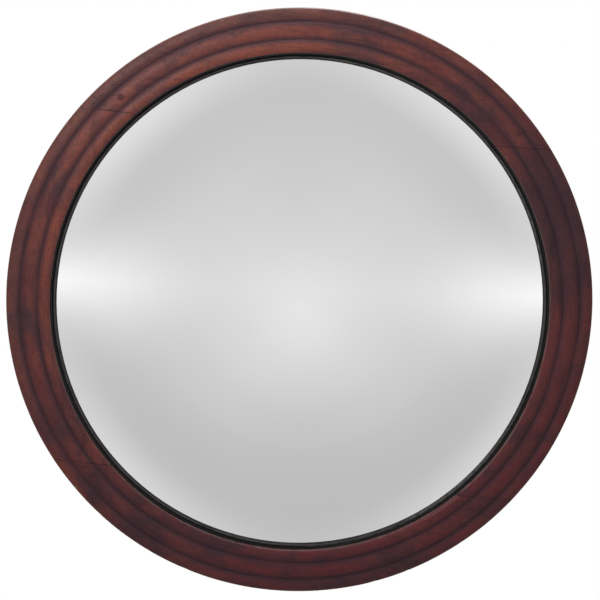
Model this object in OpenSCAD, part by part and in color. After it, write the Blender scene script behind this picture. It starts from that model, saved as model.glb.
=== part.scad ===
// Round wall mirror: a convex mirror glass held by an ebonised slip in a reeded wooden frame.
// The frame is four boards, half-lapped and pegged at the corners, and turned as one blank.
// The mirror faces -Y and its wall is the plane Y = 0. The origin lies on the wall, on the glass's axis.
// Each part is drawn face up, with its back on the plane z = 0, and on_wall() stands it upright.

/* [Frame] */
// Outside diameter of the wooden frame
frame_d = 600; // [580:5:640]
// Height of the plain side wall, from the back to the edge of the outer bead
side_h = 15; // [14:0.5:18]
// Slope of the frame's face, rising from the outer edge towards the glass, in degrees
face_slope = 17.4; // [15:0.2:19]
// Chamfer round the back edge
back_chamfer = 1; // [0.5:0.5:2]
// Gap between the frame's back and the wall
wall_gap = 6; // [5.5:0.5:10]

/* [Reeding] */
// Width of the outer bead
outer_bead_w = 13.2; // [11:0.2:14]
// Width of the middle bead
middle_bead_w = 18; // [16:0.2:19]
// Width of the inner bead
inner_bead_w = 12.8; // [10:0.2:13]
// Width of the bevel on the inner lip
arris_w = 1.1; // [0.5:0.1:1.5]
// Rise of each bead as a share of its width
bead_fullness = 0.1; // [0.06:0.01:0.14]

/* [Boards] */
// Turn of the four boards, clockwise seen from the front, in degrees
board_turn = 5.3; // [-10:0.1:10]
// Offset of the boards' centre from the turning axis, to the right
board_shift_x = 1.5; // [-3:0.5:3]
// Offset of the boards' centre from the turning axis, upwards
board_shift_y = -3; // [-3:0.5:3]
// Distance from the boards' centre to the inner edge of each board
board_inner = 180.7; // [178:0.1:181]
// Height of the half-lap above the back
lap_h = 11.5; // [9:0.5:13]
// Glue line between two boards
glue_line = 0.1; // [0.05:0.05:0.2]
// Diameter of the corner pegs
peg_d = 6.5; // [5:0.5:6.5]

/* [Glass] */
// Visible diameter of the glass
sight_d = 497.4; // [490:0.2:500]
// Height of the dome above its sight edge
rise = 34; // [25:1:45]
// Thickness of the glass
glass_t = 4; // [3:0.5:4]
// Height of the glass's face above the frame's back, at the sight edge
glass_h = 20.4; // [20:0.1:21]

/* [Slip and rebate] */
// Width of the slip's round bead
slip_bead_w = 4; // [3:0.5:4.5]
// Height of the rebate's shelf above the back
shelf_h = 22; // [21.5:0.1:23]
// Width of the rebate behind the lip
rebate_w = 5.7; // [5:0.1:7]
// Height of the slip's back above the frame's back
slip_back_h = 15.2; // [14.5:0.1:15.2]

/* [Back] */
// Thickness of the backboards
backboard_t = 8; // [6:0.5:8]
// Half the visible width of the middle backboard, seen from behind
middle_board_half = 83.6; // [70:0.2:95]
// Width of the shiplap between two backboards
shiplap_w = 7.7; // [5:0.1:10]
// Number of glazing blocks
block_count = 12; // [8:2:16]

/* [Turn buttons] */
// Distance of a button's screw from the axis
button_r = 276; // [274:0.5:278]
// Width of a button
button_w = 11; // [9:0.5:12]
// Reach of a button beyond its screw
button_reach = 21; // [18:0.5:21]
// Thickness of a button
button_t = 1.5; // [1.2:0.1:2]
// Radius of a button screw's shank
button_shank_r = 2; // [1.75:0.05:2.2]

/* [Hangers] */
// Distance of each hanger's pivot from the centre line
hanger_x = 257.6; // [255:0.2:259]
// Height of each hanger's pivot above the centre
hanger_y = 124; // [115:1:126]
// Width of the hanger strap
strap_w = 10.4; // [9:0.2:10.6]
// Thickness of the folded strap
strap_t = 1.6; // [1.2:0.2:1.8]
// Radius of the ring's wire
wire_r = 1.25; // [1:0.05:1.3]
// Half the width of the ring, to the middle of its wire
ring_half = 8; // [7.5:0.1:8.5]
// Length of the ring's straight legs
ring_leg = 4.25; // [3:0.25:5]
// Lean of the hanging ring away from the frame, in degrees
ring_lean = 3.5; // [3.5:0.1:5]

/* [Wall pads] */
// Radius of a wall pad
pad_r = 9; // [8:0.5:10]
// Distance of a pad from the axis
pad_at_r = 281; // [279:0.5:284]
// Angle of the pads below the horizontal, in degrees
pad_angle = 30; // [26:1:34]

/* [Hidden] */
round_fn = 96;
small_fn = 48;
touch = 0.05;           // air between parts that bear on each other
pin_play = 0.08;        // radial play of a turning fit
far = 400;              // beyond the frame in every direction
sweep_start = 20;       // where the pegs' turned faces start, between two pegs
peg_blank = 45;         // length of a peg before turning
peg_places = [[204.8, 196], [-202.8, 195.4], [-195.7, -197.4], [192.4, -195]]; // in the boards' axes
groove_flat = 0.1;      // flat beside each bead
frame_r = frame_d / 2;
sight_r = sight_d / 2;

// Face of the frame: heights where the beads meet, on one straight slope
function face_h(r) = side_h + (frame_r - r) * tan(face_slope);
groove_1_r = frame_r - outer_bead_w;
groove_2_r = groove_1_r - middle_bead_w;
lip_r = groove_2_r - inner_bead_w;
wood_r = lip_r - arris_w;
rebate_r = wood_r + rebate_w;

// Glass: two concentric spheres
glass_front_R = (sight_r * sight_r + rise * rise) / (2 * rise);
glass_centre_h = glass_h + rise - glass_front_R;
function glass_face_h(r) = glass_centre_h + sqrt(glass_front_R * glass_front_R - r * r);
glass_edge_gap = 0.3;
slip_seat_r = sight_r + slip_bead_w - glass_edge_gap;
glass_r = slip_seat_r - glass_edge_gap;
glass_air = 0.15;

// Slip: floor of the sunk channel between its bead and the wood
slip_outer_r = rebate_r - 0.4;
slip_floor_h = glass_h - 0.2;
slip_bead_h = glass_h + 0.8;
slip_bead_rise = 1.2;

// Back
backboard_h = 0.4;
backboard_r = rebate_r - 0.6;
block_foot_h = backboard_h + backboard_t + 0.3;
block_in_r = sight_r + 0.1;
block_out_r = rebate_r - 1;
block_w = 30;

// Turn buttons: three above and three below, clear of the hangers and pads at the sides
button_angles = [45, 90, 135, 225, 270, 315];
button_tail = 8;
button_shank_len = 12;
button_head_r = 3.6;
button_head_h = 2;

// Hangers: a strap folded round the ring's straight bar, with two screws below the ring
eye_r = wire_r + pin_play;
eye_wall = strap_t / 2;
eye_h = eye_r + eye_wall + touch;
ring_bend_r = 2.5;
strap_screws = [20, 31];
strap_len = 36;
strap_shank_r = 1.9;
strap_shank_len = 14;
strap_head_r = 3.2;
strap_head_h = 1.8;

// Wall pads, each held by one nail sunk in its face
pad_recess_r = 3.4;
pad_recess_h = 2.5;
nail_r = 0.9;
nail_len = 12;
nail_head_r = 2.8;
nail_head_h = 0.8;
sides = [1, -1];

BUTTONS = [for (i = [1 : len(button_angles)]) str("turn_button_", i)];

// ---- placing ----

// From face up on the bench to upright on the wall
module on_wall() {
    translate([0, -wall_gap, 0]) rotate([90, 0, 0]) children();
}

// The boards' own axes
module board_axes() {
    translate([board_shift_x, board_shift_y, 0]) rotate(-board_turn) children();
}

module at_pegs() {
    board_axes()
        for (place = peg_places)
            translate(place) children();
}

module at_button(i) {
    rotate(button_angles[i - 1]) translate([button_r, 0, 0]) children();
}

// side is 1 on the right and -1 on the left, seen from the front
module at_hanger(side) {
    translate([side * hanger_x, hanger_y, 0]) children();
}

module at_pad(side) {
    translate([side * pad_at_r * cos(pad_angle), -pad_at_r * sin(pad_angle), 0]) children();
}

// Z-aligned hole or pin, from a height down to a depth
module post(r, low, high) {
    translate([0, 0, low]) cylinder(r = r, h = high - low, $fn = small_fn);
}

// ---- turned section ----

// Round bead over the chord from p to q, as far as it stands above the wood. A narrow flat stays at each end
module bead(p, q, bead_rise) {
    along = (q - p) / norm(q - p);
    up = [along.y, -along.x] * sign(-along.x);
    chord = norm(q - p) - 2 * groove_flat;
    bead_R = (chord * chord / 4 + bead_rise * bead_rise) / (2 * bead_rise);
    inset = groove_flat / 2 * along;
    foot = -0.4 * up;
    top = 2 * bead_rise * up;
    intersection() {
        translate((p + q) / 2 - (bead_R - bead_rise) * up) circle(r = bead_R, $fn = round_fn);
        polygon([p + inset + foot, q - inset + foot, q - inset + top, p + inset + top]);
    }
}

// Half section of the frame: radius across, height above the back up
module frame_section() {
    edge = [frame_r, side_h];
    groove_1 = [groove_1_r, face_h(groove_1_r)];
    groove_2 = [groove_2_r, face_h(groove_2_r)];
    lip = [lip_r, face_h(lip_r)];
    polygon([
        [rebate_r, 0], [frame_r - back_chamfer, 0], [frame_r, back_chamfer], edge, groove_1, groove_2,
        lip, [wood_r, lip.y - arris_w], [wood_r, shelf_h], [rebate_r, shelf_h]
    ]);
    bead(edge, groove_1, bead_fullness * outer_bead_w);
    bead(groove_1, groove_2, bead_fullness * middle_bead_w);
    bead(groove_2, lip, bead_fullness * inner_bead_w);
}

module turned_ring() {
    rotate_extrude($fn = round_fn) frame_section();
}

// Holes for the pegs and for every screw and nail in the frame's back
module frame_holes() {
    at_pegs() post(peg_d / 2 + touch, -1, far);
    for (i = [1 : len(button_angles)]) at_button(i) post(button_shank_r + touch, -1, button_shank_len + touch);
    for (side = sides) {
        at_hanger(side)
            for (y = strap_screws)
                translate([0, -y, 0]) post(strap_shank_r + touch, -1, strap_shank_len + touch);
        at_pad(side) post(nail_r + touch, -1, nail_len + touch);
    }
}

// ---- boards ----

// The upper board before turning: it runs through over the laps and stops short under them
module rail_blank() {
    clear = board_inner - glue_line;
    translate([-clear, board_inner, -1]) cube([2 * clear, far, far]);
    translate([-far, board_inner, lap_h + glue_line]) cube([2 * far, far, far]);
}

// The right-hand board before turning: it runs through under the laps
module stile_blank() {
    clear = board_inner - glue_line;
    translate([board_inner, -clear, -1]) cube([far, 2 * clear, far]);
    translate([board_inner, -far, -1]) cube([far, 2 * far, lap_h + 1]);
}

module board(turn) {
    difference() {
        intersection() {
            turned_ring();
            board_axes() rotate(turn) children();
        }
        frame_holes();
    }
}

module top_rail() { color("#5b3130") on_wall() board(0) rail_blank(); }
module bottom_rail() { color("#532d2d") on_wall() board(180) rail_blank(); }
module right_stile() { color("#4f2a2b") on_wall() board(0) stile_blank(); }
module left_stile() { color("#58302f") on_wall() board(180) stile_blank(); }

// The ring under the middle bead, which the pegs are turned flush with
module middle_reed() {
    groove_1 = [groove_1_r, face_h(groove_1_r)];
    groove_2 = [groove_2_r, face_h(groove_2_r)];
    rotate_extrude($fn = round_fn) {
        polygon([[groove_2_r, 0], [groove_1_r, 0], groove_1, groove_2]);
        bead(groove_1, groove_2, bead_fullness * middle_bead_w);
    }
}

// Dowels through both halves of each lap
module corner_pegs() {
    color("#2c1a1c") on_wall()
        intersection() {
            rotate(sweep_start) middle_reed();
            at_pegs() rotate(sweep_start) post(peg_d / 2, -1, peg_blank);
        }
}

// ---- slip and glass ----

module slip_ring() {
    bead_in = [sight_r, slip_bead_h];
    bead_out = [sight_r + slip_bead_w, slip_bead_h];
    color("#1b1a1c") on_wall() rotate_extrude($fn = round_fn) {
        polygon([
            [sight_r, glass_h + glass_air], [slip_seat_r, glass_face_h(slip_seat_r) + glass_air],
            [slip_seat_r, slip_back_h], [slip_outer_r, slip_back_h], [slip_outer_r, shelf_h - touch],
            [wood_r + 0.3, shelf_h - touch], [wood_r - 0.4, slip_floor_h],
            [sight_r + slip_bead_w + 0.5, slip_floor_h], bead_out, bead_in
        ]);
        bead(bead_out, bead_in, slip_bead_rise);
    }
}

// A dished disc, silvered on its hollow back
module mirror_glass() {
    color("#c9cdcf") on_wall() intersection() {
        difference() {
            translate([0, 0, glass_centre_h]) sphere(r = glass_front_R, $fn = round_fn);
            translate([0, 0, glass_centre_h]) sphere(r = glass_front_R - glass_t, $fn = round_fn);
        }
        cylinder(r = glass_r, h = far, $fn = round_fn);
    }
}

// Softwood blocks glued behind the slip, bearing on the rim of the glass
module glazing_blocks() {
    color("#b08f5f") on_wall()
        for (i = [0 : block_count - 1])
            rotate((i + 0.5) * 360 / block_count)
                translate([block_in_r, -block_w / 2, block_foot_h])
                    cube([block_out_r - block_in_r, block_w, slip_back_h - touch - block_foot_h]);
}

// ---- back ----

module backboard_disc() {
    translate([0, 0, backboard_h]) cylinder(r = backboard_r, h = backboard_t, $fn = round_fn);
}

module backboard_middle() {
    full = middle_board_half;
    lapped = full + shiplap_w;
    mid_h = backboard_h + backboard_t / 2 + touch;
    color("#9a7a50") on_wall() intersection() {
        backboard_disc();
        union() {
            translate([-full, -far, -1]) cube([2 * full, 2 * far, far]);
            translate([-lapped, -far, mid_h]) cube([2 * lapped, 2 * far, far]);
        }
    }
}

module backboard_side() {
    full = middle_board_half + shiplap_w + 0.2;
    lapped = middle_board_half + 0.2;
    mid_h = backboard_h + backboard_t / 2 - touch;
    intersection() {
        backboard_disc();
        union() {
            translate([full, -far, -1]) cube([far, 2 * far, far]);
            translate([lapped, -far, -1]) cube([far, 2 * far, mid_h + 1]);
        }
    }
}

module backboard_right() { color("#a08158") on_wall() backboard_side(); }
module backboard_left() { color("#94744b") on_wall() mirror([1, 0, 0]) backboard_side(); }

// Screw head with a driver slot, its flat underside at z = 0 and its dome towards -z
module screw_head(r, h) {
    dome_R = (r * r + h * h) / (2 * h);
    difference() {
        intersection() {
            translate([0, 0, dome_R - h]) sphere(r = dome_R, $fn = small_fn);
            post(r, -h, 0);
        }
        translate([-far / 2, -0.4, -h - 1]) cube([far, 0.8, 1 + h * 0.4]);
    }
}

// Round-head screw driven up into the frame, its head at depth -seat
module wood_screw(shank_r, shank_len, head_r, head_h, seat) {
    tip = 2 * shank_r;
    translate([0, 0, -seat]) screw_head(head_r, head_h);
    post(shank_r, -seat, shank_len - tip);
    translate([0, 0, shank_len - tip]) cylinder(r1 = shank_r, r2 = 0.2, h = tip, $fn = small_fn);
}

// Brass strip with round ends, pointing from its screw towards the glass's axis
module turn_button(i) {
    end_r = button_w / 2;
    color("#b08d45") on_wall() at_button(i) translate([0, 0, -touch - button_t]) difference() {
        union() {
            translate([end_r - button_reach, 0, 0]) cylinder(r = end_r, h = button_t, $fn = small_fn);
            translate([button_tail - end_r, 0, 0]) cylinder(r = end_r, h = button_t, $fn = small_fn);
            translate([end_r - button_reach, -end_r, 0])
                cube([button_reach + button_tail - button_w, button_w, button_t]);
        }
        post(button_shank_r + pin_play, -1, button_t + 1);
    }
}

module turn_button_screws() {
    color("#a3813c") on_wall()
        for (i = [1 : len(button_angles)])
            at_button(i) rotate(25 * i)
                wood_screw(button_shank_r, button_shank_len, button_head_r, button_head_h, button_t + 2 * touch);
}

// ---- hangers ----

module hanger_strap(side) {
    color("#8d8a82") on_wall() at_hanger(side) difference() {
        union() {
            translate([-strap_w / 2, -strap_len + strap_w / 2, -touch - strap_t])
                cube([strap_w, strap_len - strap_w / 2, strap_t]);
            translate([0, -strap_len + strap_w / 2, 0]) post(strap_w / 2, -touch - strap_t, -touch);
            translate([-strap_w / 2, 0, -eye_h]) rotate([0, 90, 0])
                cylinder(r = eye_r + eye_wall, h = strap_w, $fn = small_fn);
        }
        translate([-strap_w, 0, -eye_h]) rotate([0, 90, 0])
            cylinder(r = eye_r, h = 2 * strap_w, $fn = small_fn);
        for (y = strap_screws) translate([0, -y, 0]) post(strap_shank_r + 0.15, -far, far);
    }
}

// Torus of wire, from the x axis round by an angle
module wire_bend(r, angle) {
    rotate_extrude(angle = angle, $fn = small_fn) translate([r, 0]) circle(r = wire_r, $fn = small_fn);
}

// D-shaped ring with its straight bar on the pivot, hanging down from it
module hanger_ring(side) {
    bar = ring_half - ring_bend_r;
    leg_foot = -ring_bend_r - ring_leg;
    color("#96938a") on_wall() at_hanger(side) translate([0, 0, -eye_h]) rotate([ring_lean, 0, 0]) {
        translate([-bar, 0, 0]) rotate([0, 90, 0]) cylinder(r = wire_r, h = 2 * bar, $fn = small_fn);
        for (s = sides) {
            translate([s * bar, -ring_bend_r, 0]) rotate(s > 0 ? 0 : 90) wire_bend(ring_bend_r, 90);
            translate([s * ring_half, leg_foot, 0]) rotate([-90, 0, 0])
                cylinder(r = wire_r, h = ring_leg, $fn = small_fn);
        }
        translate([0, leg_foot, 0]) rotate(180) wire_bend(ring_half, 180);
    }
}

module hanger_screws() {
    color("#8a867c") on_wall()
        for (side = sides)
            at_hanger(side)
                for (y = strap_screws)
                    translate([0, -y, 0]) rotate(y * 7 * side)
                        wood_screw(strap_shank_r, strap_shank_len, strap_head_r, strap_head_h, strap_t + 2 * touch);
}

// ---- wall pads ----

module wall_pad(side) {
    color("#3a3836") on_wall() at_pad(side) difference() {
        union() {
            post(pad_r, -wall_gap + 0.8, -touch);
            translate([0, 0, -wall_gap]) cylinder(r1 = pad_r - 0.8, r2 = pad_r, h = 0.8, $fn = small_fn);
        }
        post(pad_recess_r, -far, -wall_gap + pad_recess_h);
        post(nail_r + touch, -far, far);
    }
}

module pad_nails() {
    seat = -wall_gap + pad_recess_h - touch;
    color("#77736b") on_wall()
        for (side = sides)
            at_pad(side) {
                post(nail_head_r, seat - nail_head_h, seat);
                post(nail_r, seat, nail_len - 2);
                translate([0, 0, nail_len - 2]) cylinder(r1 = nail_r, r2 = 0.1, h = 2, $fn = small_fn);
            }
}

top_rail();
bottom_rail();
left_stile();
right_stile();
corner_pegs();
slip_ring();
mirror_glass();
glazing_blocks();
backboard_left();
backboard_middle();
backboard_right();
turn_button_screws();
hanger_strap(-1);  // hanger_strap_left
hanger_strap(1);  // hanger_strap_right
hanger_ring(-1);  // hanger_ring_left
hanger_ring(1);  // hanger_ring_right
hanger_screws();
wall_pad(-1);  // wall_pad_left
wall_pad(1);  // wall_pad_right
pad_nails();
for (i = [1 : len(button_angles)]) turn_button(i);
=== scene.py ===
import math
import random

import bmesh
import bpy
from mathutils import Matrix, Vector, noise


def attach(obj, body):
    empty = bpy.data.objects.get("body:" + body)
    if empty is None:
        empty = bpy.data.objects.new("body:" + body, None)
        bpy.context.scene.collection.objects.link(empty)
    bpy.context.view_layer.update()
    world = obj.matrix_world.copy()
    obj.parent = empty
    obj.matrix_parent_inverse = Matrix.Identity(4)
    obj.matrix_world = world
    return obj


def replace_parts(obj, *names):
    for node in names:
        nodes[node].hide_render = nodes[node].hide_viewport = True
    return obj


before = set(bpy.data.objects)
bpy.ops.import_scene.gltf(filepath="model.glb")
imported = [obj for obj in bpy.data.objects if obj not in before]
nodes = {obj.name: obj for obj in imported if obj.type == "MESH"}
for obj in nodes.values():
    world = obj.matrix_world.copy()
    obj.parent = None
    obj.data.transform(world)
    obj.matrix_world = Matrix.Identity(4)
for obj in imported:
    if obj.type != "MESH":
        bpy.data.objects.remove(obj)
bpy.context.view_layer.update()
print("frame loaded:", len(nodes), "nodes")


# A socket that ordinary arithmetic works on
class Wire:
    def __init__(self, finish, socket):
        self.finish = finish
        self.socket = socket

    def math(self, operation, *others):
        values = dict(enumerate([self, *others]))
        return self.finish.add("ShaderNodeMath", {"operation": operation}, values)

    def flipped(self, operation, other):
        return self.finish.add("ShaderNodeMath", {"operation": operation}, {0: other, 1: self})

    def out(self, name):
        return Wire(self.finish, self.socket.node.outputs[name])

    def __add__(self, other): return self.math("ADD", other)
    def __radd__(self, other): return self.math("ADD", other)
    def __sub__(self, other): return self.math("SUBTRACT", other)
    def __rsub__(self, other): return self.flipped("SUBTRACT", other)
    def __mul__(self, other): return self.math("MULTIPLY", other)
    def __rmul__(self, other): return self.math("MULTIPLY", other)
    def __truediv__(self, other): return self.math("DIVIDE", other)
    def __pow__(self, other): return self.math("POWER", other)


# A node tree: a material's, or the world's
class Finish:
    def __init__(self, tree):
        self.tree = tree
        tree.nodes.clear()

    def add(self, kind, settings=None, values=None, out=0):
        made = self.tree.nodes.new(kind)
        for name, value in (settings or {}).items():
            if name == "stops":
                while len(made.color_ramp.elements) < len(value):
                    made.color_ramp.elements.new(0.5)
                for element, (position, shade) in zip(made.color_ramp.elements, value):
                    element.position = position
                    element.color = (shade, shade, shade, 1)
            elif name == "spread":
                made.color_ramp.interpolation = value
            else:
                setattr(made, name, value)
        for name, value in (values or {}).items():
            socket = made.inputs[name] if isinstance(name, int) else next(
                s for s in made.inputs if name in (s.identifier, s.name))
            if isinstance(value, Wire):
                self.tree.links.new(value.socket, socket)
            elif isinstance(value, tuple) and len(value) == 3 and len(socket.default_value) == 4:
                socket.default_value = (*value, 1)
            else:
                socket.default_value = value
        return Wire(self, made.outputs[out]) if made.outputs else made

    def place(self, turn=0.0, shift=(0, 0, 0)):
        here = self.add("ShaderNodeTexCoord", out="Object")
        values = {"Vector": here, "Rotation": (0, math.radians(turn), 0), "Location": shift}
        return self.add("ShaderNodeMapping", None, values)

    def stretch(self, where, scale):
        return self.add("ShaderNodeMapping", None, {"Vector": where, "Scale": scale})

    # The three axes of a place, and its distance from the mirror's axis
    def axes(self, where):
        x = self.add("ShaderNodeSeparateXYZ", None, {0: where})
        y, z = x.out("Y"), x.out("Z")
        return x, y, z, (x * x + z * z).math("SQRT")

    def cloud(self, where, scale, detail=3.0, rough=0.5, warp=0.0):
        return self.add("ShaderNodeTexNoise", None, {
            "Vector": where, "Scale": scale, "Detail": detail, "Roughness": rough, "Distortion": warp})

    def band(self, value, low, high, start=0.0, end=1.0):
        return self.add("ShaderNodeMapRange", {"interpolation_type": "SMOOTHSTEP"}, {
            "Value": value, "From Min": low, "From Max": high, "To Min": start, "To Max": end})

    # 1 on a line and 0 a width away from it
    def line(self, value, at, width):
        return self.band((value - at).math("ABSOLUTE"), 0, width, 1, 0)

    def mix(self, share, first, second):
        values = {"Factor_Float": share, "A_Color": first, "B_Color": second}
        return self.add("ShaderNodeMix", {"data_type": "RGBA"}, values, out=2)

    def bump(self, height, depth, strength):
        return self.add("ShaderNodeBump", None, {"Height": height, "Distance": depth, "Strength": strength})

    def surface(self, values):
        shader = self.add("ShaderNodeBsdfPrincipled", None, values)
        self.add("ShaderNodeOutputMaterial", None, {"Surface": shader})


def newFinish(name):
    made = bpy.data.materials.new(name)
    made.use_nodes = True
    return made, Finish(made.node_tree)


# The turned frame in metres: height is above the frame's back
turning = {
    "wallGap": 0.006, "outerR": 0.29998, "sideH": 0.015, "sideRows": (0.0126, 0.0136), "chamfer": 0.001, "slope": 17.4,
    "beads": (0.0132, 0.018, 0.0128), "beadSteps": (16, 20, 14), "fullness": 0.1, "edgeRound": 0.0007,
    "arris": 0.0011, "lipRound": 0.0004, "rebateR": 0.2606, "shelfH": 0.022, "lapH": 0.0115, "lapAir": 0.00005,
    "backShy": 0.00003, "steps": 140,
}
boards = {"turn": 5.3, "shift": (0.0015, -0.003), "inner": 0.1807, "glue": 0.0002}
grooveR = [turning["outerR"] - sum(turning["beads"][:i + 1]) for i in range(3)]
woodR = grooveR[2] - turning["arris"]


def faceH(r):
    return turning["sideH"] + (turning["outerR"] - r) * math.tan(math.radians(turning["slope"]))


# Points of one bead, from its outer foot to its inner one
def beadPoints(outer, inner, width, count):
    rise = turning["fullness"] * width
    along = inner - outer
    half = along.length / 2
    along.normalize()
    up = Vector((along.y, -along.x))  # a bead runs inwards, so this points out of the wood
    radius = (half * half + rise * rise) / (2 * rise)
    centre = (outer + inner) / 2 - up * (radius - rise)
    reach = math.asin(half / radius)
    points = []
    for i in range(count + 1):
        angle = -reach + 2 * reach * i / count
        points.append(centre + up * radius * math.cos(angle) + along * radius * math.sin(angle))
    return points


# A small arc in place of a sharp corner
def easeCorner(before, corner, after, radius, count=4):
    a = corner + (before - corner).normalized() * radius
    b = corner + (after - corner).normalized() * radius
    return [(1 - t) ** 2 * a + 2 * t * (1 - t) * corner + t * t * b for t in [i / count for i in range(count + 1)]]


# The face of the frame as (radius, height), from the outer side to the inner one
def facePoints():
    feet = [Vector((turning["outerR"], turning["sideH"]))] + [Vector((r, faceH(r))) for r in grooveR]
    points = [Vector((turning["outerR"], h)) for h in turning["sideRows"]]
    for outer, inner, width, count in zip(feet, feet[1:], turning["beads"], turning["beadSteps"]):
        bead = beadPoints(outer, inner, width, count)
        if outer == feet[0]:
            points += easeCorner(points[-1], bead[0], bead[1], turning["edgeRound"])
        points += bead[1:]
    lip = points.pop()
    bevel = Vector((woodR, lip.y - turning["arris"]))
    points += easeCorner(points[-1], lip, bevel, turning["lipRound"], 3)
    points += easeCorner(lip, bevel, bevel - Vector((0, 1)), turning["lipRound"], 3)
    points += [Vector((woodR, turning["shelfH"] + above)) for above in (0.002, 0)]
    return points


wear = {
    "seed": 11, "wobble": 0.00035, "wobbleScale": 14.0, "ripple": 0.00012, "rippleScale": (60, 60, 90),
    "nicks": 46, "edgeNicks": 0.6, "edgeNickUp": 0.0006, "lipNickIn": 0.0008, "lipNickDown": 0.0005,
    "nickSize": (0.0012, 0.0035), "nickDepth": (0.0003, 0.0009),
    "lipStepAngle": -50.5, "lipStepSpan": 40, "lipStep": 0.0008,
}


# Dents in the outer edge and the lip: where, how wide and how deep
def makeNicks():
    dice = random.Random(wear["seed"])
    dents = []
    for _ in range(wear["nicks"]):
        onEdge = dice.random() < wear["edgeNicks"]
        r = turning["outerR"] if onEdge else woodR + wear["lipNickIn"]
        h = turning["sideH"] + wear["edgeNickUp"] if onEdge else faceH(r) - wear["lipNickDown"]
        angle = dice.uniform(0, math.tau)
        size = dice.uniform(*wear["nickSize"])
        depth = dice.uniform(*wear["nickDepth"]) * size / wear["nickSize"][1]
        dents.append((Vector((r * math.cos(angle), r * math.sin(angle), h)), size, depth))
    return dents


nicks = makeNicks()


# How far a point of the turned face is worn down, into the wood
def wornBy(x, y, h, r, angle):
    place = Vector((x, y, h))
    low = wear["wobble"] * (0.5 + 0.5 * noise.noise(place * wear["wobbleScale"]))
    low += wear["ripple"] * (0.5 + 0.5 * noise.noise(place * Vector(wear["rippleScale"])))
    for centre, size, depth in nicks:
        away = (place - centre).length
        if away < size:
            low += depth * (1 - (away / size) ** 2) ** 2
    if r < grooveR[2] + 0.001:  # the lip of the lower board has worn back from its seam
        past = (wear["lipStepAngle"] - math.degrees(angle)) % 360
        if past < wear["lipStepSpan"]:
            low += wear["lipStep"] * (1 - past / wear["lipStepSpan"])
    return low


# Angle from the boards' own axes at which a circle of that radius meets a seam
def seamAngle(seam, r, gap=0.0):
    tilt = math.radians(boards["turn"])
    sx, sy = boards["shift"]
    shiftX = sx * math.cos(tilt) - sy * math.sin(tilt)
    shiftY = sx * math.sin(tilt) + sy * math.cos(tilt)
    q = boards["inner"] - gap
    if seam == "top":
        return math.asin((q + shiftY) / r)
    if seam == "bottom":
        return math.asin((-q + shiftY) / r)
    if seam == "right":
        return math.acos((q + shiftX) / r)
    return math.acos((-q + shiftX) / r)


# One closed block of a board: its section swept between two seams, worn down where a point has a normal
def sweepBlock(bm, section, startAt, endAt, normals):
    rings = []
    tilt = math.radians(boards["turn"])
    steps = turning["steps"]
    for i in range(steps + 1):
        ring = []
        for (r, h), normal in zip(section, normals):
            start, end = startAt(r), endAt(r)
            angle = start + (end - start) * i / steps - tilt
            if normal:
                low = wornBy(r * math.cos(angle), r * math.sin(angle), h, r, angle)
                r, h = r - normal.x * low, h - normal.y * low
            ring.append(bm.verts.new((r * math.cos(angle), -turning["wallGap"] - h, r * math.sin(angle))))
        rings.append(ring)
    count = len(section)
    for a, b in zip(rings, rings[1:]):
        for j in range(count):
            k = (j + 1) % count
            bm.faces.new((a[j], a[k], b[k], b[j]))
    bm.faces.new(rings[0][::-1])
    bm.faces.new(rings[-1])


# A piece of the frame body, smooth but for its sharp edges
def meshPiece(name, bm, finishes, sharp=35):
    bmesh.ops.recalc_face_normals(bm, faces=bm.faces)
    mesh = bpy.data.meshes.new(name)
    for face in bm.faces:
        face.smooth = True
    for edge in bm.edges:
        if len(edge.link_faces) == 2 and edge.calc_face_angle() > math.radians(sharp):
            edge.smooth = False
    bm.to_mesh(mesh)
    bm.free()
    piece = bpy.data.objects.new(name, mesh)
    bpy.context.scene.collection.objects.link(piece)
    for finish in finishes:
        mesh.materials.append(finish)
    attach(piece, "frame")
    return piece


# Direction out of the wood at each point of an open line of the section
def outward(points):
    normals = []
    for i in range(len(points)):
        along = points[min(i + 1, len(points) - 1)] - points[max(i - 1, 0)]
        normals.append(Vector((along.y, -along.x)).normalized())
    return normals


stain = {
    "red": (0.152, 0.031, 0.029), "orange": (0.230, 0.056, 0.038), "plum": (0.062, 0.022, 0.031),
    "greySheen": (0.074, 0.038, 0.046), "dark": (0.026, 0.011, 0.016), "magenta": (0.152, 0.017, 0.028),
    "worn": (0.150, 0.118, 0.108), "chip": (0.33, 0.24, 0.19), "edge": (0.150, 0.048, 0.036),
    "innerBeadHighlight": (0.270, 0.062, 0.036), "brown": (0.125, 0.052, 0.042), "valley": (0.050, 0.019, 0.030),
    "raw": (0.230, 0.125, 0.070), "rawDark": (0.095, 0.045, 0.026), "run": (0.072, 0.020, 0.019),
    "darkAt": (0.262, 0.100), "innerBeadHighlightR": 0.2625, "seamWidth": 0.0009,
}


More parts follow.
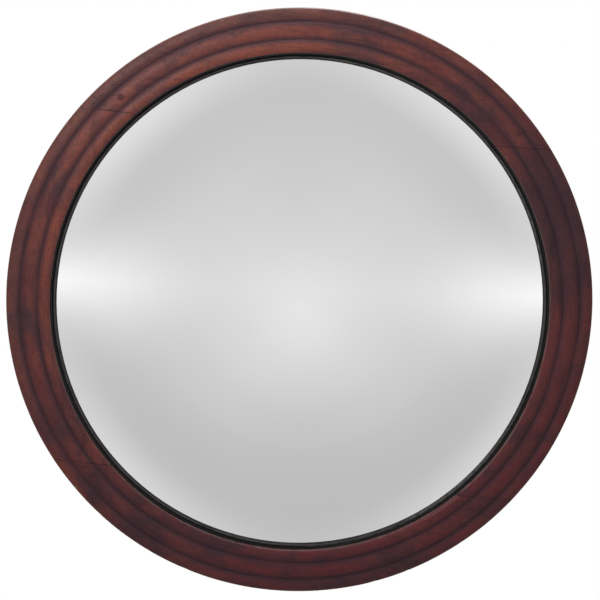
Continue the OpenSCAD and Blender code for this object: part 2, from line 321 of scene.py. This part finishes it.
def stainedWood(name, grainTurn, seed):
    made, f = newFinish(name)
    here = f.place(grainTurn - boards["turn"], (seed * 0.37, seed * 0.61, seed * 0.23))
    x, y, z, r = f.axes(f.place())
    front = f.band(y, -turning["wallGap"] - 0.0022, -turning["wallGap"] - 0.0006, 1, 0)
    # grain runs along the board
    long = f.stretch(here, (1, 9, 9))
    fine = f.stretch(here, (1, 26, 26))
    streaks = f.cloud(long, 9, 6, 0.62, 0.4)
    figure = f.cloud(long, 3.2, 3, 0.5, 1.2)
    pores = f.band(f.cloud(fine, 34, 3, 0.6), 0.56, 0.68)
    mottle = f.cloud(here, 15, 4, 0.55, 0.5)
    # wear, old polish and the painted light and shade follow the turning, so their patches are long round the ring
    around = f.add("ShaderNodeCombineXYZ", None, {0: x / r * 0.27 + seed, 1: r * 2.6, 2: z / r * 0.27})
    patches = f.cloud(around, 24, 4, 0.55, 0.5)
    haze = f.cloud(around, 11, 3, 0.5, 0.6)
    grime = f.cloud(here, 75, 4, 0.65)
    speck = f.cloud(here, 210, 3, 0.6)
    # the stain: red wood, thin and orange in places, thick and plum in others
    colour = f.mix(f.band(mottle, 0.40, 0.66), stain["red"], stain["plum"])
    colour = f.mix(f.band(patches, 0.46, 0.72, 0, 0.8), colour, stain["orange"])
    # painted light: the upper left, on the key lamp's side, is made lighter and more orange
    upper = f.band(x * -0.55 + z * 0.85, -0.06, 0.25)
    colour = f.mix(upper * f.band(patches, 0.38, 0.62, 0.10, 0.95), colour, stain["orange"])
    # painted highlight: a bright orange band along the inner bead at the upper left
    innerBeadHighlight = upper * f.line(r, stain["innerBeadHighlightR"], 0.0095) * f.band(haze, 0.34, 0.56, 0.15, 0.8)
    colour = f.mix(innerBeadHighlight, colour, stain["innerBeadHighlight"])
    # painted light: a lighter brown on the outer bead at the upper left
    colour = f.mix(upper * f.band(r, 0.282, 0.294, 0, 0.5) * f.band(haze, 0.40, 0.62, 0.3, 1), colour, stain["brown"])
    # painted sheen: grey patches on the upper left
    colour = f.mix(upper * f.band(mottle, 0.50, 0.68, 0, 0.55), colour, stain["greySheen"])
    lower = f.band(z * -1 + x * 0.5, 0.02, 0.30)
    colour = f.mix(lower * f.band(patches, 0.40, 0.64, 0, 0.75), colour, stain["magenta"])
    # painted shade: a darker plum patch on the right, the side away from the key lamp
    darkX, darkZ = x - stain["darkAt"][0], z - stain["darkAt"][1]
    darkSpot = f.band((darkX * darkX + darkZ * darkZ * 0.35).math("SQRT"), 0.02, 0.085, 0.85, 0)
    colour = f.mix(darkSpot * f.band(mottle, 0.25, 0.60, 0.35, 1), colour, stain["plum"])
    colour = f.mix(f.band(streaks, 0.50, 0.74, 0, 0.5), colour, stain["dark"])
    colour = f.mix(f.band(figure, 0.45, 0.72, 0, 0.35), colour, stain["plum"])
    colour = f.mix(pores * 0.42, colour, stain["dark"])
    colour = f.mix(f.band(speck, 0.35, 0.70, 0, 0.26), colour, stain["dark"])
    # dirt and painted shade lie in the grooves
    valley = f.line(r, grooveR[0], 0.0068) + f.line(r, grooveR[1], 0.0066)
    colour = f.mix(valley * f.band(patches, 0.30, 0.60, 0.38, 0.72), colour, stain["valley"])
    grooveDirtAndShade = f.line(r, grooveR[0], 0.0032) + f.line(r, grooveR[1], 0.0032)
    grooveDirtAndShade = grooveDirtAndShade * f.band(grime, 0.20, 0.60, 0.6, 1)
    colour = f.mix(grooveDirtAndShade * f.band(haze, 0.36, 0.60, 0.12, 0.6), colour, stain["dark"])
    # the outer edge worn to red wood; the lip's arris grey, partly from wear and partly as a painted highlight
    rub = f.line(r, turning["outerR"], 0.0040) * f.band(grime, 0.38, 0.64, 0.10, 0.75)
    colour = f.mix(rub, colour, stain["edge"])
    lip = f.line(r, woodR + 0.0003, 0.0011) * f.band(grime, 0.3, 0.6, 0.12, 0.75)
    colour = f.mix(lip, colour, stain["worn"])
    chips = f.band(f.add("ShaderNodeTexVoronoi", None, {"Vector": here, "Scale": 120}), 0.10, 0.17, 1, 0)
    chips = chips * f.band(patches, 0.55, 0.60) * f.band(r, 0.2958, 0.2990)
    colour = f.mix(chips * 0.85, colour, stain["chip"])
    # the seams' glue lines, filled and faint at the lower right and worn away at the left's outer bead
    tilt = math.radians(boards["turn"])
    sine, cosine = math.sin(tilt), math.cos(tilt)
    seamZ = x * sine + z * cosine - (boards["shift"][0] * sine + boards["shift"][1] * cosine)
    faint = f.band(x - z, 0.30, 0.38, 1, 0.16) * f.band(x, -0.05, 0.05, f.band(r, 0.276, 0.288, 1, 0.12), 1)
    gap = f.line(seamZ.math("ABSOLUTE"), boards["inner"], stain["seamWidth"])
    gap = gap * f.band(grime, 0.30, 0.56, 0.35, 1) * faint
    colour = f.mix(gap * 0.66, colour, stain["dark"])
    # the back was never stained: bare wood, with runs of stain at its edges
    bare = f.mix(f.band(streaks, 0.35, 0.65), stain["raw"], stain["rawDark"])
    bare = f.mix(pores * 0.5, bare, stain["rawDark"])
    runs = f.band(r + (patches - 0.5) * 0.022, 0.2885, 0.2945) + f.band(r + (patches - 0.5) * 0.012, 0.2640, 0.2615)
    bare = f.mix(runs.math("MINIMUM", 1) * 0.75, bare, stain["run"])
    bare = f.mix(f.band(mottle, 0.5, 0.7, 0, 0.5), bare, stain["rawDark"])
    colour = f.mix(front, bare, colour)
    roughness = 0.66 - front * 0.2 + streaks * 0.14 + pores * 0.10 + grooveDirtAndShade * front * 0.10
    height = streaks * 0.35 - pores * 0.5 + grime * 0.25 + speck * 0.1 - gap * 0.8
    f.surface({"Base Color": colour, "Roughness": roughness, "Normal": f.bump(height, 0.00045, 0.55),
               "Coat Weight": f.band(mottle, 0.3, 0.7, 0.10, 0.0) * front, "Coat Roughness": 0.34,
               "Specular IOR Level": 0.3})
    return made


# One board of two blocks: the upper one above the half-lap, the lower one beneath it
def buildBoard(name, upper, lower, grainTurn, seed):
    bm = bmesh.new()
    face = facePoints()
    outer, rebate, lap = turning["outerR"], turning["rebateR"], turning["lapH"]
    section = [(outer, lap), *face, (rebate, turning["shelfH"]), (rebate, lap)]
    sweepBlock(bm, section, *upper, [None, *outward(face)[:-2], None, None, None, None])
    chamfer, shy, under = turning["chamfer"], turning["backShy"], lap - turning["lapAir"]
    section = [(rebate, shy), (outer - chamfer, shy), (outer, chamfer), (outer, under), (rebate, under)]
    sweepBlock(bm, section, *lower, [None] * len(section))
    return meshPiece(name, bm, [stainedWood(name + "Stain", grainTurn, seed)])


# The angle of a seam as a function of radius, for a sweep that starts or ends there
def seam(name, gap=0.0, turnsOn=0.0, flip=1.0):
    return lambda r: turnsOn + flip * seamAngle(name, r, gap)


def buildBoards():
    half, full = math.pi, math.tau
    glue = boards["glue"]
    plans = {
        "topBoard": ("top_rail", (seam("top"), seam("top", 0, half, -1)),
                     (seam("right", glue), seam("left", glue)), 0, 1),
        "bottomBoard": ("bottom_rail", (seam("bottom", 0, -half, -1), seam("bottom")),
                        (seam("left", glue, 0, -1), seam("right", glue, 0, -1)), 0, 2),
        "rightBoard": ("right_stile", (seam("bottom", glue), seam("top", glue)),
                       (seam("right", 0, 0, -1), seam("right")), 90, 3),
        "leftBoard": ("left_stile", (seam("top", glue, half, -1), seam("bottom", glue, half, -1)),
                      (seam("left"), seam("left", 0, full, -1)), 90, 4),
    }
    for name, (node, upper, lower, grainTurn, seed) in plans.items():
        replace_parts(buildBoard(name, upper, lower, grainTurn, seed), node)
    print("boards built")


buildBoards()


peg = {"dark": (0.066, 0.022, 0.027), "light": (0.125, 0.036, 0.035), "pore": (0.030, 0.013, 0.018)}


def pegFinish():
    made, f = newFinish("pegEndGrain")
    here = f.place()
    rings = f.cloud(here, 420, 4, 0.6)
    rays = f.add("ShaderNodeTexVoronoi", None, {"Vector": here, "Scale": 1500})
    colour = f.mix(f.band(rings, 0.35, 0.65), peg["dark"], peg["light"])
    colour = f.mix(f.band(rays, 0.25, 0.05, 0, 0.5), colour, peg["pore"])
    f.surface({"Base Color": colour, "Roughness": 0.5 + rings * 0.2, "Normal": f.bump(rings, 0.0005, 0.5),
               "Specular IOR Level": 0.2})
    return made


def assign(nodeNames, finish):
    for name in nodeNames:
        mesh = nodes[name].data
        if not mesh.materials:
            mesh.materials.append(finish)
        for i in range(len(mesh.materials)):
            mesh.materials[i] = finish


assign(["corner_pegs"], pegFinish())


slip = {
    "black": (0.0075, 0.0068, 0.0072), "crestWearAndHighlight": (0.066, 0.061, 0.060), "dust": (0.035, 0.032, 0.031), "crestR": 0.2507,
}


def slipFinish():
    made, f = newFinish("ebonisedSlip")
    here = f.place()
    r = f.axes(here)[3]
    dust = f.cloud(here, 60, 5, 0.6)
    fineDust = f.cloud(here, 900, 3, 0.6)
    # the bead's crest is made grey: partly wear, partly a painted highlight
    crest = f.line(r, slip["crestR"], 0.0021)
    colour = f.mix(crest * f.band(dust, 0.30, 0.62, 0.25, 0.95), slip["black"], slip["crestWearAndHighlight"])
    colour = f.mix(f.band(fineDust, 0.60, 0.78, 0, 0.3), colour, slip["dust"])
    roughness = f.band(dust, 0.3, 0.7, 0.34, 0.52)
    f.surface({"Base Color": colour, "Roughness": roughness, "Normal": f.bump(dust, 0.0003, 0.15),
               "Specular IOR Level": 0.42})
    return made


assign(["slip_ring"], slipFinish())

glass = {
    "r": 0.2521, "frontR": 0.92658, "apexY": -0.0604, "thick": 0.004, "edgeRound": 0.0004, "rings": 64, "backRings": 12,
    "sectors": 256, "clear": (0.945, 0.945, 0.945), "hazed": (0.935, 0.937, 0.934), "mote": (0.45, 0.44, 0.42),
    "paint": (0.10, 0.045, 0.032), "paintThin": (0.15, 0.075, 0.055),
}


def mirrorFinish():
    made, f = newFinish("silveredGlass")
    here = f.place()
    r = f.axes(here)[3]
    haze = f.cloud(here, 7, 4, 0.55)
    motes = f.add("ShaderNodeTexVoronoi", None, {"Vector": here, "Scale": 190, "Randomness": 1})
    motes = f.band(motes, 0.035, 0.07, 1, 0) * f.band(haze, 0.50, 0.60) * f.band(r, 0.236, 0.2485)
    colour = f.mix(f.band(haze, 0.3, 0.7), glass["hazed"], glass["clear"])
    colour = f.mix(motes * 0.35, colour, glass["mote"])
    roughness = f.band(haze, 0.35, 0.75, 0.004, 0.016) + motes * 0.2
    f.surface({"Base Color": colour, "Roughness": roughness, "Metallic": 1.0})
    return made


def backPaint():
    made, f = newFinish("mirrorBackPaint")
    brush = f.cloud(f.stretch(f.place(), (1, 1, 14)), 22, 5, 0.6)
    colour = f.mix(brush, glass["paint"], glass["paintThin"])
    f.surface({"Base Color": colour, "Roughness": 0.55 + brush * 0.2, "Normal": f.bump(brush, 0.0003, 0.5)})
    return made


# Domed glass: a front sphere and a back one about the same centre, with a ground edge between them
def buildMirror():
    bm = bmesh.new()
    centreY = glass["apexY"] + glass["frontR"]
    backR = glass["frontR"] - glass["thick"]
    flatR = glass["r"] - glass["edgeRound"]
    frontRs = [glass["r"] * i / glass["rings"] for i in range(1, glass["rings"])] + [flatR]
    backRs = [flatR * i / glass["backRings"] for i in range(glass["backRings"], 0, -1)]
    front = [(r, centreY - math.sqrt(glass["frontR"] ** 2 - r * r)) for r in frontRs]
    back = [(r, centreY - math.sqrt(backR ** 2 - r * r)) for r in backRs]
    edge = [(glass["r"], front[-1][1] + glass["edgeRound"]), (glass["r"], back[0][1] - glass["edgeRound"])]
    tip = bm.verts.new((0, glass["apexY"], 0))
    tail = bm.verts.new((0, centreY - backR, 0))
    count = glass["sectors"]
    turns = [math.tau * k / count for k in range(count)]
    loops = [[bm.verts.new((r * math.cos(turn), y, r * math.sin(turn))) for turn in turns]
             for r, y in front + edge + back]
    for k in range(count):
        n = (k + 1) % count
        bm.faces.new((tip, loops[0][k], loops[0][n]))
        bm.faces.new((tail, loops[-1][n], loops[-1][k])).material_index = 1
        for i, (a, b) in enumerate(zip(loops, loops[1:])):
            bm.faces.new((a[k], b[k], b[n], a[n])).material_index = 0 if i < glass["rings"] - 1 else 1
    piece = meshPiece("domedMirror", bm, [mirrorFinish(), backPaint()], 20)
    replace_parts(piece, "mirror_glass")
    print("mirror built")


buildMirror()


pine = {
    "light": (0.43, 0.275, 0.135), "warm": (0.36, 0.20, 0.085), "late": (0.22, 0.105, 0.042),
    "knot": (0.070, 0.032, 0.016), "grey": (0.17, 0.135, 0.10), "stain": (0.085, 0.058, 0.040), "seams": 0.0836,
}


def agedPine(name, seed, knotAt, slant):
    made, f = newFinish(name)
    here = f.place(slant, (seed * 0.31, seed * 0.17, seed * 0.47))
    raw = f.place()
    # growth rings bend round the knot
    toKnot = f.add("ShaderNodeVectorMath", {"operation": "SUBTRACT"}, {0: raw, 1: knotAt})
    away = f.add("ShaderNodeVectorMath", {"operation": "LENGTH"}, {0: f.stretch(toKnot, (1, 0, 0.5))}, out="Value")
    knotWide = away + (f.cloud(raw, 260, 3, 0.6) - 0.5) * 0.004
    drift = f.cloud(f.stretch(here, (1, 1, 0.14)), 5, 2, 0.5)
    sway = f.cloud(f.stretch(here, (1, 1, 0.25)), 16, 3, 0.5)
    # rings stand far apart at the heart and close together outside it
    across = f.axes(here)[0] + drift * 0.11 + sway * 0.012 + f.band(away, 0.0, 0.045, 0.013, 0)
    rings, wide = (f.add("ShaderNodeTexNoise", {"noise_dimensions": "1D"}, {
        "W": across, "Scale": scale, "Detail": 2, "Roughness": rough}) for scale, rough in ((210, 0.75), (34, 0.6)))
    fibre = f.cloud(f.stretch(here, (22, 22, 1)), 30, 5, 0.65)
    stains = f.cloud(here, 9, 5, 0.6)
    blots = f.cloud(here, 24, 5, 0.7, 0.6)
    colour = f.mix(f.band(wide, 0.35, 0.68), pine["light"], pine["warm"])
    colour = f.mix(f.band(rings, 0.50, 0.74, 0, 0.72), colour, pine["late"])
    colour = f.mix(f.band(fibre, 0.42, 0.76, 0, 0.45), colour, pine["late"])
    colour = f.mix(f.band(stains, 0.44, 0.72, 0, 0.55), colour, pine["grey"])
    colour = f.mix(f.band(blots, 0.60, 0.74, 0, 0.55), colour, pine["stain"])
    # dust and shadow at the shiplap joints and where the frame has kept the light off
    x, _, _, r = f.axes(raw)
    joint = f.line(x.math("ABSOLUTE"), pine["seams"], 0.0016)
    rim = f.band(r + (blots - 0.5) * 0.03, 0.232, 0.262, 0, 0.5)
    colour = f.mix(rim, colour, pine["grey"])
    colour = f.mix(joint * 0.85, colour, pine["knot"])
    knot = f.band(knotWide, 0.005, 0.0105, 1, 0)
    colour = f.mix(f.band(away, 0.006, 0.024, 0.55, 0), colour, pine["late"])
    colour = f.mix(knot, colour, pine["knot"])
    height = fibre * 0.6 - rings * 0.35 - knot * 0.3 - joint * 1.5
    f.surface({"Base Color": colour, "Roughness": 0.66 + fibre * 0.2, "Normal": f.bump(height, 0.0007, 0.6),
               "Specular IOR Level": 0.3})
    return made


assign(["backboard_left"], agedPine("pineLeft", 1, (-0.171, 0, 0.061), 1.5))
assign(["backboard_middle"], agedPine("pineMiddle", 2, (0.032, 0, -0.094), -1.2))
assign(["backboard_right"], agedPine("pineRight", 3, (0.147, 0, -0.122), 2.5))
assign(["glazing_blocks"], agedPine("pineBlocks", 5, (0.9, 0, 0.9), 0))

metal = {
    "brass": (0.42, 0.27, 0.105), "brassDull": (0.14, 0.085, 0.040), "brassPit": (0.05, 0.05, 0.032),
    "steel": (0.47, 0.46, 0.44), "zincDull": (0.24, 0.24, 0.235), "rust": (0.13, 0.055, 0.025),
}


# low and high are the ends of the roughness, scale is how small the tarnish clouds are
def dullMetal(name, bright, tarnish, spot, low, high, scale):
    made, f = newFinish(name)
    here = f.place()
    cloudy = f.cloud(here, scale, 5, 0.6, 0.4)
    specks = f.cloud(here, scale * 5, 3, 0.7)
    slanted = f.add("ShaderNodeMapping", None, {"Vector": here, "Scale": (1, 1, 26), "Rotation": (0, 0.6, 0)})
    scratches = f.cloud(slanted, scale * 1.6, 3, 0.7)
    colour = f.mix(f.band(cloudy, 0.38, 0.66), bright, tarnish)
    pit = f.band(specks, 0.60, 0.74)
    colour = f.mix(pit * 0.7, colour, spot)
    roughness = f.band(cloudy, 0.3, 0.7, low, high) + pit * 0.2
    height = scratches * 0.4 + specks * 0.5 - pit * 0.4
    f.surface({"Base Color": colour, "Roughness": roughness, "Metallic": 1 - pit * 0.6,
               "Normal": f.bump(height, 0.00018, 0.5)})
    return made


oldBrass = dullMetal("oldBrass", metal["brass"], metal["brassDull"], metal["brassPit"], 0.26, 0.5, 160)
platedSteel = dullMetal("platedSteel", metal["steel"], metal["zincDull"], metal["rust"], 0.28, 0.52, 190)
assign([n for n in nodes if n.startswith("turn_button")], oldBrass)
assign([n for n in nodes if n.startswith("hanger")] + ["pad_nails"], platedSteel)


rubber = {"black": (0.028, 0.027, 0.026), "chalk": (0.095, 0.09, 0.082)}


def padFinish():
    made, f = newFinish("padRubber")
    here = f.place()
    grain = f.cloud(here, 700, 4, 0.6)
    chalk = f.cloud(here, 90, 5, 0.6)
    colour = f.mix(f.band(chalk, 0.45, 0.75, 0, 0.6), rubber["black"], rubber["chalk"])
    f.surface({"Base Color": colour, "Roughness": 0.72 + grain * 0.15, "Normal": f.bump(grain, 0.0003, 0.6),
               "Specular IOR Level": 0.35})
    return made


assign(["wall_pad_left", "wall_pad_right"], padFinish())
print("finishes made")

view = {
    "azimuth": -1.7, "elevation": 6.25, "distance": 5.0, "lens": 293.5, "sensor": 36, "clip": (0.05, 60),
    "aim": (0.0001, -0.021, 0.0018),
}


# Puts a camera or a lamp at a direction and a distance from a point, facing it
def standBack(name, data, azimuth, elevation, distance, aim=(0, 0, 0)):
    turn, lift = math.radians(azimuth), math.radians(elevation)
    back = Vector((math.sin(turn) * math.cos(lift), -math.cos(turn) * math.cos(lift), math.sin(lift)))
    made = bpy.data.objects.new(name, data)
    made.location = Vector(aim) + back * distance
    made.rotation_euler = (-back).to_track_quat("-Z", "Y").to_euler()
    bpy.context.scene.collection.objects.link(made)
    return made


def setCamera():
    data = bpy.data.cameras.new("camera")
    data.lens, data.sensor_width = view["lens"], view["sensor"]
    data.clip_start, data.clip_end = view["clip"]
    camera = standBack("camera", data, view["azimuth"], view["elevation"], view["distance"], view["aim"])
    bpy.context.scene.camera = camera


def addLamp(name, azimuth, elevation, distance, size, power):
    data = bpy.data.lights.new(name, "AREA")
    data.shape, data.size, data.energy = "DISK", size, power
    standBack(name, data, azimuth, elevation, distance)


studio = {
    "floorZ": -1.5, "floorRings": (0.6, 1.4, 2.6), "floorSides": 96, "floorGlow": 0.4,
    "floorPale": ((0.80, 0.79, 0.775), (0.86, 0.855, 0.845)),
    "ambient": 0.385, "backdrop": 1.0, "dimFrom": 0.57, "dimTo": 0.85, "dimmed": 0.5,
    "centre": (0.03, -0.10), "stripZ": -0.075, "stripTilt": 0.036, "strip": (0.7, -1.0, 0.1), "stripEdge": 1.6,
    "at": (0.0, 0.12, 0.24, 0.34, 0.40, 0.46, 0.50, 0.54, 0.58),
    "up": (0.82, 0.73, 0.665, 0.635, 0.62, 0.605, 0.60, 0.63, 0.66),
    "down": (0.84, 0.765, 0.645, 0.575, 0.55, 0.54, 0.54, 0.565, 0.58),
    "side": (0.826, 0.778, 0.761, 0.813, 0.874, 0.926, 0.955, 0.985, 1.0),
    "corner": (0.0, 0.0, 0.02, 0.022, 0.004, 0.0, 0.045, 0.125, 0.16),
}


# The studio that the glass shows: pale, a little darker in a ring, with a bright strip to each side. Only gloss sees
# it: diffuse rays meet an even soft light, and the eye a plain backdrop
def setWorld():
    world = bpy.data.worlds.new("studio")
    bpy.context.scene.world = world
    world.use_nodes = True
    f = Finish(world.node_tree)
    split = f.add("ShaderNodeSeparateXYZ", None, {0: f.add("ShaderNodeTexCoord", out="Generated")})
    x = split - studio["centre"][0]
    height = split.out("Z")
    z = height - studio["centre"][1]
    away = (x * x + z * z).math("SQRT")
    far = away.math("MAXIMUM", 0.001)
    lean = z / far
    wide, taper, least = studio["strip"]
    strip = (height - studio["stripZ"] + x * studio["stripTilt"]) / far / (away * taper + wide).math("MAXIMUM", least)
    side = (strip.math("ABSOLUTE") ** studio["stripEdge"] * -1).math("EXPONENT")
    ramps = {}
    for name in ("up", "down", "side", "corner"):
        stops = list(zip(studio["at"], studio[name]))
        ramps[name] = f.add("ShaderNodeValToRGB", {"stops": stops, "spread": "CARDINAL"}, {0: away})
    double = lean * lean * 2 - 1
    level = ramps["down"] + (ramps["up"] - ramps["down"]) * (lean * 0.5 + 0.5) + ramps["corner"] * (1 - double * double)
    level = level + (ramps["side"] - level) * side
    level = level * f.band(away, studio["dimFrom"], studio["dimTo"], 1, studio["dimmed"])
    grey = f.add("ShaderNodeCombineColor", None, {0: level, 1: level, 2: level})
    shown = f.add("ShaderNodeBackground", None, {"Color": grey})
    soft = f.add("ShaderNodeBackground", None, {"Color": (1, 1, 1), "Strength": studio["ambient"]})
    plain = f.add("ShaderNodeBackground", None, {"Color": (1, 1, 1), "Strength": studio["backdrop"]})
    path = f.add("ShaderNodeLightPath")
    lit = f.add("ShaderNodeMixShader", None, {0: path.out("Is Diffuse Ray"), 1: shown, 2: soft})
    lit = f.add("ShaderNodeMixShader", None, {0: path.out("Is Camera Ray"), 1: lit, 2: plain})
    f.add("ShaderNodeOutputWorld", None, {"Surface": lit})


def setFloor():
    bm = bmesh.new()
    count = studio["floorSides"]
    turns = [math.tau * k / count for k in range(count)]
    rings = [[bm.verts.new((r * math.cos(turn), r * math.sin(turn), studio["floorZ"])) for turn in turns]
             for r in studio["floorRings"]]
    bm.faces.new(rings[0])
    for a, b in zip(rings, rings[1:]):
        for k in range(count):
            n = (k + 1) % count
            bm.faces.new((a[k], b[k], b[n], a[n]))
    mesh = bpy.data.meshes.new("floor")
    bm.to_mesh(mesh)
    bm.free()
    made, f = newFinish("paleFloor")
    here = f.place()
    colour = f.mix(f.cloud(here, 3, 4, 0.5), *studio["floorPale"])
    f.surface({"Base Color": colour, "Roughness": 0.75, "Normal": f.bump(f.cloud(here, 140, 3, 0.6), 0.0005, 0.2),
               "Emission Color": colour, "Emission Strength": studio["floorGlow"]})
    mesh.materials.append(made)
    floor = bpy.data.objects.new("floor", mesh)
    floor.visible_glossy = floor.visible_diffuse = False  # its glow is only for the eye
    bpy.context.scene.collection.objects.link(floor)


setCamera()
setFloor()
setWorld()
addLamp("keyLamp", -34, 36, 2.6, 0.7, 23.4)
addLamp("topLamp", 10, 82, 2.4, 1.2, 16)
addLamp("backLamp", 160, 40, 3.0, 1.4, 60)
bpy.context.scene.view_settings.view_transform = "Standard"
print("studio set")
